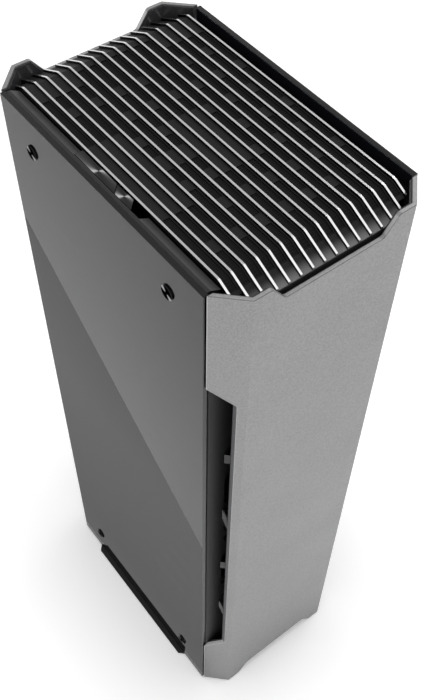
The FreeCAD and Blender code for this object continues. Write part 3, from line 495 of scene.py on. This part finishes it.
# Black anodised screw heads with a turned face: the same two fans of painted highlight, on each of the
# eight heads.
screwFinish = {
    # painted highlight in the middle of each fan, along the next way
    "paintedFanHighlight": "#f4f4f6",
    "dark": "#343436",
    "way": (0.0, 0.81, 0.585),
    "narrow": 24.0,
    "rimTint": "#404040",    # keeps the black finish dark at a glancing view
    "roughness": 0.30,
    "anisotropy": 0.8,
    "middle": (0.0, 0.0, 332.25),    # mm; the heads lie the same distance each way from here
    "spread": (0.0, 80.3, 292.25),
}


def turnedBlackScrew():
    s = screwFinish
    material, tree = startMaterial("black anodised turned aluminium with painted highlight fans")
    where = addNode(tree, "ShaderNodeTexCoord").outputs["Object"]
    middle, spread = (tuple(v * millimetre for v in s[key]) for key in ("middle", "spread"))
    # the four heads of a side are folded onto one, and the arm from its centre is turned back again
    off = addNode(tree, "ShaderNodeVectorMath", {0: where, 1: middle}, operation="SUBTRACT").outputs[0]
    folded = addNode(tree, "ShaderNodeVectorMath", {0: off}, operation="ABSOLUTE").outputs[0]
    near = addNode(tree, "ShaderNodeVectorMath", {0: folded, 1: spread}, operation="SUBTRACT").outputs[0]
    side = addNode(tree, "ShaderNodeVectorMath", {0: off}, operation="SIGN").outputs[0]
    arm = addNode(tree, "ShaderNodeVectorMath", {0: near, 1: side}, operation="MULTIPLY").outputs[0]
    marks, paintedFans = turnedFaceAndPaintedFans(tree, s, arm, (1.0, 0.0, 0.0))[1:]
    shader = addNode(tree, "ShaderNodeBsdfPrincipled", {
        "Base Color": paintedFans, "Metallic": 1.0, "Roughness": s["roughness"],
        "Specular Tint": linear(s["rimTint"]), "Anisotropic": s["anisotropy"], "Tangent": marks})
    endMaterial(tree, shader)
    return material


dress(turnedBlackScrew(), "glass_screws")
print("buttons and glass screws dressed")


# Small hidden hardware: zinc plate, black oxide, brass and a lacquered circuit board; patch in mm.
hardware = {
    "zinc plated steel": {
        "nodes": ["panel_studs", "glass_inserts", "foot_screws", "slot_screws"],
        "colour": "#a9abb0", "tint": "#b9b39c", "metallic": 1.0, "roughness": 0.32, "patch": 3.0},
    "black oxide steel": {
        "nodes": ["fan_screws"],
        "colour": "#1c1c1e", "tint": "#242427", "metallic": 1.0, "roughness": 0.4, "patch": 2.0},
    "turned brass": {
        "nodes": ["board_standoffs"],
        "colour": "#c9a45c", "tint": "#b98f45", "metallic": 1.0, "roughness": 0.25, "patch": 2.0},
    "lacquered circuit board": {
        "nodes": ["switch_board"],
        "colour": "#123a26", "tint": "#1b5236", "metallic": 0.0, "roughness": 0.3, "patch": 1.2},
}
hardwareSpread = (0.8, 1.2)  # times the roughness, from patch to patch


def smallHardware(name, s):
    material, tree = startMaterial(name)
    where = addNode(tree, "ShaderNodeTexCoord").outputs["Object"]
    patch = addNode(tree, "ShaderNodeTexNoise", {
        "Vector": where, "Scale": perMetre(s["patch"]), "Detail": 3.0}).outputs["Fac"]
    colour = addNode(tree, "ShaderNodeMix", {
        "Factor": patch, "A": linear(s["colour"]), "B": linear(s["tint"])},
        data_type="RGBA").outputs["Result"]
    low, high = (s["roughness"] * part for part in hardwareSpread)
    rough = addNode(tree, "ShaderNodeMapRange", {
        "Value": patch, "To Min": low, "To Max": high}).outputs["Result"]
    shader = addNode(tree, "ShaderNodeBsdfPrincipled", {
        "Base Color": colour, "Metallic": s["metallic"], "Roughness": rough})
    endMaterial(tree, shader)
    return material


for name, s in hardware.items():
    dress(smallHardware(name, s), *s["nodes"])


# Toughened float glass with a dark body tint: a clear mirror on the face, little light through it.
glass = {
    "tint": "#313337",
    "deepTint": "#2e3034",
    "drift": 180,            # mm; slow change of the tint over the sheet
    "roughness": 0.0,
    "ior": 1.52,
}


def tintedGlass():
    s = glass
    material, tree = startMaterial("dark tinted float glass")
    where = addNode(tree, "ShaderNodeTexCoord").outputs["Object"]
    drift = addNode(tree, "ShaderNodeTexNoise", {
        "Vector": where, "Scale": perMetre(s["drift"]), "Detail": 1.0}).outputs["Fac"]
    tint = addNode(tree, "ShaderNodeMix", {
        "Factor": drift, "A": linear(s["tint"]), "B": linear(s["deepTint"])},
        data_type="RGBA").outputs["Result"]
    shader = addNode(tree, "ShaderNodeBsdfPrincipled", {
        "Base Color": tint, "Roughness": s["roughness"], "IOR": s["ior"], "Transmission Weight": 1.0})
    endMaterial(tree, shader)
    return material


dress(tintedGlass(), "left_glass", "right_glass")


# Ceramic ink fired on the inside of the glass, in a band along its edges: flat, dark and without gloss.
ink = {
    "colour": "#1e1f23",
    "roughness": (0.4, 0.5),
    "speck": 1.5,            # mm
    "sideBand": 20.0,        # mm
    "topBand": 89.0,
    "lowBand": 20.0,
    "thickness": 0.04,
    "gap": 0.02,             # from the glass, so that the two faces stay apart
    "holeRadius": 4.0,       # around the upper screws
    "holeSides": 32,
    "edgeMargin": 0.8,
}


def ceramicInk():
    s = ink
    material, tree = startMaterial("fired ceramic ink")
    where = addNode(tree, "ShaderNodeTexCoord").outputs["Object"]
    speck = addNode(tree, "ShaderNodeTexNoise", {
        "Vector": where, "Scale": perMetre(s["speck"]), "Detail": 2.0}).outputs["Fac"]
    rough = addNode(tree, "ShaderNodeMapRange", {
        "Value": speck, "To Min": s["roughness"][0], "To Max": s["roughness"][1]}).outputs["Result"]
    shader = addNode(tree, "ShaderNodeBsdfPrincipled", {
        "Base Color": linear(s["colour"]), "Roughness": rough, "Specular IOR Level": 0.0})
    endMaterial(tree, shader)
    return material


def inkBand(name, pane, side, material):
    s = ink
    low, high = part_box(pane)
    margin = s["edgeMargin"] * millimetre
    y0, y1, z0, z1 = low.y + margin, high.y - margin, low.z + margin, high.z - margin
    frontY, rearY = low.y + s["sideBand"] * millimetre, high.y - s["sideBand"] * millimetre
    lowZ, topZ = low.z + s["lowBand"] * millimetre, high.z - s["topBand"] * millimetre
    loops = [[(y0, z0), (y1, z0), (y1, z1), (y0, z1)],
             [(frontY, lowZ), (rearY, lowZ), (rearY, topZ), (frontY, topZ)]]
    screwZ = (screwFinish["middle"][2] + screwFinish["spread"][2]) * millimetre
    radius = s["holeRadius"] * millimetre
    turns = [2 * math.pi * i / s["holeSides"] for i in range(s["holeSides"])]
    for way in (-1, 1):
        screwY = (screwFinish["middle"][1] + way * screwFinish["spread"][1]) * millimetre
        loops.append([(screwY + radius * math.cos(t), screwZ + radius * math.sin(t)) for t in turns])
    # a filled flat curve leaves its inner loops open
    curve = bpy.data.curves.new(name, "CURVE")
    curve.dimensions = "2D"
    curve.fill_mode = "BOTH"
    curve.extrude = s["thickness"] / 2 * millimetre
    for loop in loops:
        spline = curve.splines.new("POLY")
        spline.points.add(len(loop) - 1)
        for point, (y, z) in zip(spline.points, loop):
            point.co = (y, z, 0.0, 1.0)
        spline.use_cyclic_u = True
    outline = bpy.data.objects.new(name + "_outline", curve)
    scene.collection.objects.link(outline)
    mesh = bpy.data.meshes.new_from_object(outline.evaluated_get(bpy.context.evaluated_depsgraph_get()))
    bpy.data.objects.remove(outline)
    bpy.data.curves.remove(curve)
    inner = high.x if side < 0 else low.x
    depth = inner - side * (s["gap"] + s["thickness"] / 2) * millimetre
    # the outline's own X and Y become the case's Y and Z
    mesh.transform(Matrix(((0, 0, 1, depth), (1, 0, 0, 0), (0, 1, 0, 0), (0, 0, 0, 1))))
    mesh.materials.clear()
    mesh.materials.append(material)
    band = bpy.data.objects.new(name, mesh)
    scene.collection.objects.link(band)
    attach(band, "chassis")


inkMaterial = ceramicInk()
inkBand("left_glass_ink", "left_glass", -1, inkMaterial)
inkBand("right_glass_ink", "right_glass", 1, inkMaterial)
print("glass dressed")


# Dust filter under the slotted strips: woven nylon, black threads, and darker holes between them as painted
# shade.
filterMesh = {
    "thread": "#161617",
    "hole": "#060607",
    "roughness": 0.7,
    "specular": 0.1,
    "weave": 2.0,            # mm between threads; the real 0.4 is too fine to show
    "waver": 0.3,            # unevenness of the threads
    "bump": 0.5,
    "bumpHeight": 0.2,       # mm
    "underside": 2.8,        # mm from the fins' tops down to the strips' undersides
    "flatY": 111.0,          # the strips slope down outside this
    "slope": 0.4854,
    "thickness": 0.1,
    "gap": 0.05,             # from the strips, and from the fins at each side
    "endMargin": 0.5,
}


def wovenNylon():
    s = filterMesh
    material, tree = startMaterial("woven nylon filter mesh")
    where = addNode(tree, "ShaderNodeTexCoord").outputs["Object"]
    threads = []
    for way in ("X", "Y"):
        threads.append(addNode(tree, "ShaderNodeTexWave", {
            "Vector": where, "Scale": waveScale(s["weave"]), "Distortion": s["waver"], "Detail": 1.0},
            wave_type="BANDS", bands_direction=way).outputs["Fac"])
    top = addNode(tree, "ShaderNodeMath", {0: threads[0], 1: threads[1]}, operation="MAXIMUM").outputs[0]
    # painted shade: the holes between the threads take the darker colour
    colour = addNode(tree, "ShaderNodeMix", {
        "Factor": top, "A": linear(s["hole"]), "B": linear(s["thread"])},
        data_type="RGBA").outputs["Result"]
    bump = addNode(tree, "ShaderNodeBump", {
        "Height": top, "Strength": s["bump"], "Distance": s["bumpHeight"] * millimetre}).outputs["Normal"]
    shader = addNode(tree, "ShaderNodeBsdfPrincipled", {
        "Base Color": colour, "Roughness": s["roughness"], "IOR": plastic["ior"],
        "Specular IOR Level": s["specular"], "Normal": bump})
    endMaterial(tree, shader)
    return material


def filterStrips():
    s = filterMesh
    build = bmesh.new()
    thick = s["thickness"] * millimetre
    flat = s["flatY"] * millimetre
    for near, far in zip(finNames, finNames[1:]):
        nearHigh, farLow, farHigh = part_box(near)[1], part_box(far)[0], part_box(far)[1]
        left = nearHigh.x + s["gap"] * millimetre
        right = farLow.x - s["gap"] * millimetre
        reach = min(nearHigh.y, farHigh.y) - s["endMargin"] * millimetre
        top = nearHigh.z - (s["underside"] + s["gap"]) * millimetre
        rings = []
        for y in (-reach, -flat, flat, reach):
            z = top - s["slope"] * max(0.0, abs(y) - flat)
            corners = ((left, z), (right, z), (right, z - thick), (left, z - thick))
            rings.append([build.verts.new((x, y, height)) for x, height in corners])
        for here, there in zip(rings, rings[1:]):
            for k in range(4):
                build.faces.new((here[k], here[k - 3], there[k - 3], there[k]))
        build.faces.new(rings[0])
        build.faces.new(rings[-1])
    bmesh.ops.recalc_face_normals(build, faces=build.faces)
    mesh = bpy.data.meshes.new("cover_filter")
    build.to_mesh(mesh)
    build.free()
    mesh.materials.append(wovenNylon())
    sheet = bpy.data.objects.new("cover_filter", mesh)
    scene.collection.objects.link(sheet)
    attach(sheet, "top_cover")


filterStrips()
print("filter laid")


# White studio floor, a pale room with a grey ceiling, three soft lamps, and a card for the glass to mirror.
studio = {
    "floor": "#f4f4f4",
    "floorReach": 6.0,       # m from the case to the floor's edges
    "floorLift": (0.32, 0.06),  # extra white that only the camera sees, and that only mirrors and glass see
    "farLift": 0.5,          # more white far from the case
    "farFrom": (0.9, 2.5),   # m
    "wall": "#ffffff",       # the room as the camera, mirrors and glass see it
    "ceiling": "#c6c6c6",
    "ceilingSpan": (0.2, 0.7),   # upward part of a direction, from wall to ceiling
    "fill": "#a0a0a0",       # the room as it lights the surfaces
    "lamps": {               # W and m
        "overhead": {"power": 33.0, "size": (0.6, 0.6), "place": (-0.03, -0.03, 2.6),
                     "aim": (-0.03, -0.03, 0.0), "mirrored": False},
        "soft box": {"power": 3.4, "size": (1.4, 1.2), "place": (0.65, -0.55, 2.2),
                     "aim": (0.0, 0.0, 0.4), "mirrored": True},
        "side lamp": {"power": 5.0, "size": (0.9, 0.3), "place": (1.7, 0.45, 2.35),
                      "aim": (0.0, 0.0, 0.65), "mirrored": True},
    },
    "card": (0.34, 0.52),    # light of a floor card that only mirrors see, near the case and further out
    "cardFade": (-0.105, -0.19),     # m
    "cardOutline": ((-0.153, -0.137), (-0.376, 1.0), (-0.09, 1.0), (-0.09, -0.137)),
    "cardLift": 0.001,       # above the floor
}


def seenRays(tree, camera, mirror):
    # a value for rays from the camera, another for mirrors and glass, 0 for light that falls on surfaces
    path = addNode(tree, "ShaderNodeLightPath").outputs
    both = addNode(tree, "ShaderNodeMath", {0: path["Is Glossy Ray"], 1: path["Is Transmission Ray"]},
                   operation="MAXIMUM").outputs[0]
    mirrored = addNode(tree, "ShaderNodeMath", {0: both, 1: mirror}, operation="MULTIPLY").outputs[0]
    return addNode(tree, "ShaderNodeMath", {0: path["Is Camera Ray"], 1: camera, 2: mirrored},
                   operation="MULTIPLY_ADD").outputs[0]


def studioFloor():
    s = studio
    material, tree = startMaterial("white floor paint")
    paint = addNode(tree, "ShaderNodeBsdfDiffuse", {"Color": linear(s["floor"])})
    # the lamps don't reach far, so the floor is kept white out to the walls
    where = addNode(tree, "ShaderNodeTexCoord").outputs["Object"]
    away = addNode(tree, "ShaderNodeVectorMath", {0: where}, operation="LENGTH").outputs["Value"]
    far = addNode(tree, "ShaderNodeMapRange", {
        "Value": away, "From Min": s["farFrom"][0], "From Max": s["farFrom"][1],
        "To Max": s["farLift"]}).outputs["Result"]
    lift = addNode(tree, "ShaderNodeMath", {
        0: far, 1: seenRays(tree, 1.0, 1.0), 2: seenRays(tree, *s["floorLift"])},
        operation="MULTIPLY_ADD").outputs[0]
    glow = addNode(tree, "ShaderNodeEmission", {"Strength": lift})
    endMaterial(tree, addNode(tree, "ShaderNodeAddShader", {0: paint.outputs[0], 1: glow.outputs[0]}))
    mesh = bpy.data.meshes.new("floor")
    half = s["floorReach"]
    mesh.from_pydata([(-half, -half, 0), (half, -half, 0), (half, half, 0), (-half, half, 0)],
                     [], [(0, 1, 2, 3)])
    mesh.materials.append(material)
    floor = bpy.data.objects.new("floor", mesh)
    scene.collection.objects.link(floor)


def studioRoom():
    s = studio
    world = bpy.data.worlds.new("room")
    world.use_nodes = True
    tree = world.node_tree
    tree.nodes.clear()
    way = addNode(tree, "ShaderNodeTexCoord").outputs["Generated"]
    height = addNode(tree, "ShaderNodeSeparateXYZ", {"Vector": way}).outputs["Z"]
    climb = addNode(tree, "ShaderNodeMapRange", {
        "Value": height, "From Min": s["ceilingSpan"][0], "From Max": s["ceilingSpan"][1]},
        interpolation_type="SMOOTHSTEP").outputs["Result"]
    paint = addNode(tree, "ShaderNodeMix", {
        "Factor": climb, "A": linear(s["wall"]), "B": linear(s["ceiling"])},
        data_type="RGBA").outputs["Result"]
    light = addNode(tree, "ShaderNodeMix", {
        "Factor": seenRays(tree, 1.0, 1.0), "A": linear(s["fill"]), "B": paint},
        data_type="RGBA").outputs["Result"]
    room = addNode(tree, "ShaderNodeBackground", {"Color": light})
    addNode(tree, "ShaderNodeOutputWorld", {"Surface": room.outputs[0]})
    scene.world = world


def studioLamp(name, s):
    lamp = bpy.data.lights.new(name, "AREA")
    lamp.shape = "RECTANGLE"
    lamp.size, lamp.size_y = s["size"]
    lamp.energy = s["power"]
    holder = bpy.data.objects.new(name, lamp)
    holder.location = s["place"]
    holder.visible_glossy = s["mirrored"]
    holder.rotation_euler = (Vector(s["aim"]) - Vector(s["place"])).to_track_quat("-Z", "Y").to_euler()
    scene.collection.objects.link(holder)


def mirrorCard():
    s = studio
    material, tree = startMaterial("grey card")
    where = addNode(tree, "ShaderNodeTexCoord").outputs["Object"]
    across = addNode(tree, "ShaderNodeSeparateXYZ", {"Vector": where}).outputs["X"]
    level = addNode(tree, "ShaderNodeMapRange", {
        "Value": across, "From Min": s["cardFade"][0], "From Max": s["cardFade"][1],
        "To Min": s["card"][0], "To Max": s["card"][1]}).outputs["Result"]
    endMaterial(tree, addNode(tree, "ShaderNodeEmission", {"Strength": level}))
    mesh = bpy.data.meshes.new("mirror_card")
    mesh.from_pydata([(x, y, s["cardLift"]) for x, y in s["cardOutline"]], [], [(0, 1, 2, 3)])
    mesh.materials.append(material)
    card = bpy.data.objects.new("mirror_card", mesh)
    card.visible_camera = False
    card.visible_diffuse = False
    card.visible_transmission = False
    card.visible_shadow = False
    scene.collection.objects.link(card)


studioFloor()
studioRoom()
for name, s in studio["lamps"].items():
    studioLamp(name, s)
mirrorCard()
print("studio lit")


# Camera fitted to the photograph's perspective; the image is 421 x 700.
view = {
    "eye": (-307.64, -405.56, 1082.35),  # mm
    "forward": (0.37291, 0.475926, -0.796513),
    "up": (0.480822, 0.635064, 0.604569),
    "lens": 49.957,          # mm, on a sensor of the next width
    "sensor": 36.0,
    "clipStart": 0.01,       # m
}


def photoCamera():
    s = view
    camera = bpy.data.cameras.new("photo camera")
    camera.sensor_width = s["sensor"]
    camera.lens = s["lens"]
    camera.clip_start = s["clipStart"]
    holder = bpy.data.objects.new("photo camera", camera)
    forward = Vector(s["forward"]).normalized()
    right = forward.cross(Vector(s["up"])).normalized()
    up = right.cross(forward)
    turn = Matrix((right, up, -forward)).transposed().to_4x4()
    holder.matrix_world = Matrix.Translation(Vector(s["eye"]) * millimetre) @ turn
    scene.collection.objects.link(holder)
    scene.camera = holder


photoCamera()
print("camera set")
